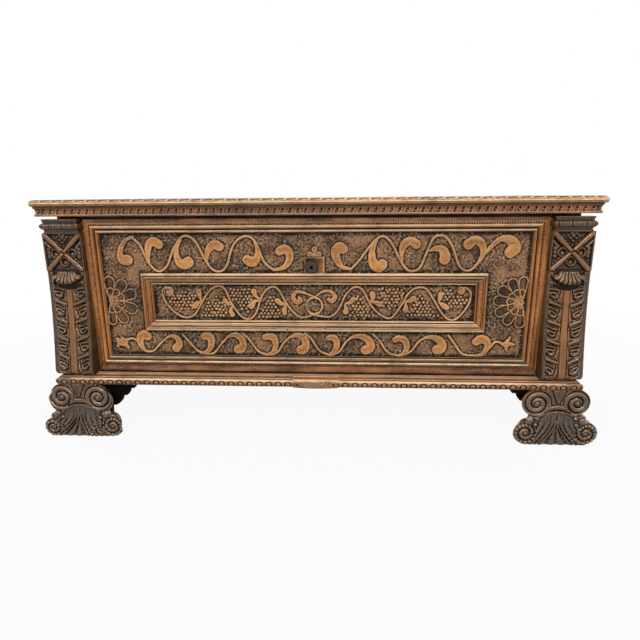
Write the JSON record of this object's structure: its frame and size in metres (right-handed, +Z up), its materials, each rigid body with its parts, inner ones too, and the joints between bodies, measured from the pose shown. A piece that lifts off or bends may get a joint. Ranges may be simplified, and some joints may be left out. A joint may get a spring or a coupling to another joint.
{
  "type": "cassone",
  "caption": "Long low chest with a hinged lid, a carved and framed front, pilasters at the corners, scroll feet and an iron lock.",
  "frame": {"origin": "on the floor at the bottom centre of the bounding box, under the middle of the lid", "axes": "+X along the chest to the right of someone facing its front, +Y from the front to the back, +Z up"},
  "size_m": [1.762, 0.566, 0.752],
  "materials": {
    "walnut_honey": "waxed golden brown walnut",
    "walnut_panel": "carved walnut, golden ribbons over a dark punched ground",
    "walnut_red": "waxed reddish brown walnut",
    "walnut_dark": "dark waxed walnut with polished high spots",
    "walnut_plain": "plain aged walnut board, dull",
    "dowel_wood": "plain turned dowel",
    "wrought_iron": "blackened forged iron"
  },
  "bodies": {
    "chest": {"back_board": "walnut_plain", "back_strap_nails": "wrought_iron", "base_moulding_front_left": "walnut_honey", "base_moulding_front_right": "walnut_honey", "base_moulding_left": "walnut_honey", "base_moulding_right": "walnut_honey", "base_tab": "walnut_honey", "bottom_board_front": "walnut_plain", "bottom_board_middle": "walnut_plain", "bottom_board_rear": "walnut_plain", "bottom_cleat_left": "walnut_plain", "bottom_cleat_right": "walnut_plain", "cover_rivet": "wrought_iron", "end_board_left": "walnut_plain", "end_board_right": "walnut_plain", "foot_bracket_left": "walnut_plain", "foot_bracket_right": "walnut_plain", "foot_dowels": "dowel_wood", "foot_front_left": "walnut_dark", "foot_front_right": "walnut_dark", "foot_rear_left": "walnut_plain", "foot_rear_right": "walnut_plain", "frame_bottom": "walnut_honey", "frame_left": "walnut_honey", "frame_right": "walnut_honey", "frame_top": "walnut_honey", "front_board": "walnut_panel", "hinge_back_strap_left": "wrought_iron", "hinge_back_strap_right": "wrought_iron", "hinge_pin_left": "wrought_iron", "hinge_pin_right": "wrought_iron", "keyhole_boss": "wrought_iron", "lock_keepers": "wrought_iron", "lock_nails": "wrought_iron", "lock_plate": "wrought_iron", "lock_spring": "wrought_iron", "panel_moulding_bottom": "walnut_honey", "panel_moulding_left": "walnut_honey", "panel_moulding_right": "walnut_honey", "panel_moulding_top": "walnut_honey", "pilaster_block_left": "walnut_dark", "pilaster_block_right": "walnut_dark", "pilaster_cap_left": "walnut_dark", "pilaster_cap_right": "walnut_dark", "pilaster_shaft_left": "walnut_dark", "pilaster_shaft_right": "walnut_dark"},
    "lid": {"hinge_lid_strap_left": "wrought_iron", "hinge_lid_strap_right": "wrought_iron", "lid_board": "walnut_honey", "lid_moulding_front": "walnut_red", "lid_moulding_left": "walnut_red", "lid_moulding_right": "walnut_red", "lid_nails": "wrought_iron", "lid_staple": "wrought_iron"},
    "bolt": {"lock_bolt": "wrought_iron"},
    "cover": {"keyhole_cover": "wrought_iron"}
  },
  "joints": [
    {"name": "lid_hinge", "type": "hinge", "parent": "chest", "child": "lid", "pos_m": [0, 0.255, 0.7314], "axis": [-1, 0, 0], "range_deg": [0, 100]},
    {"name": "bolt_slide", "type": "slide", "parent": "chest", "child": "bolt", "axis": [1, 0, 0], "range_m": [0, 0.018]},
    {"name": "cover_swing", "type": "hinge", "parent": "chest", "child": "cover", "pos_m": [0, -0.2376, 0.565], "axis": [0, -1, 0], "continuous": true}
  ]
}
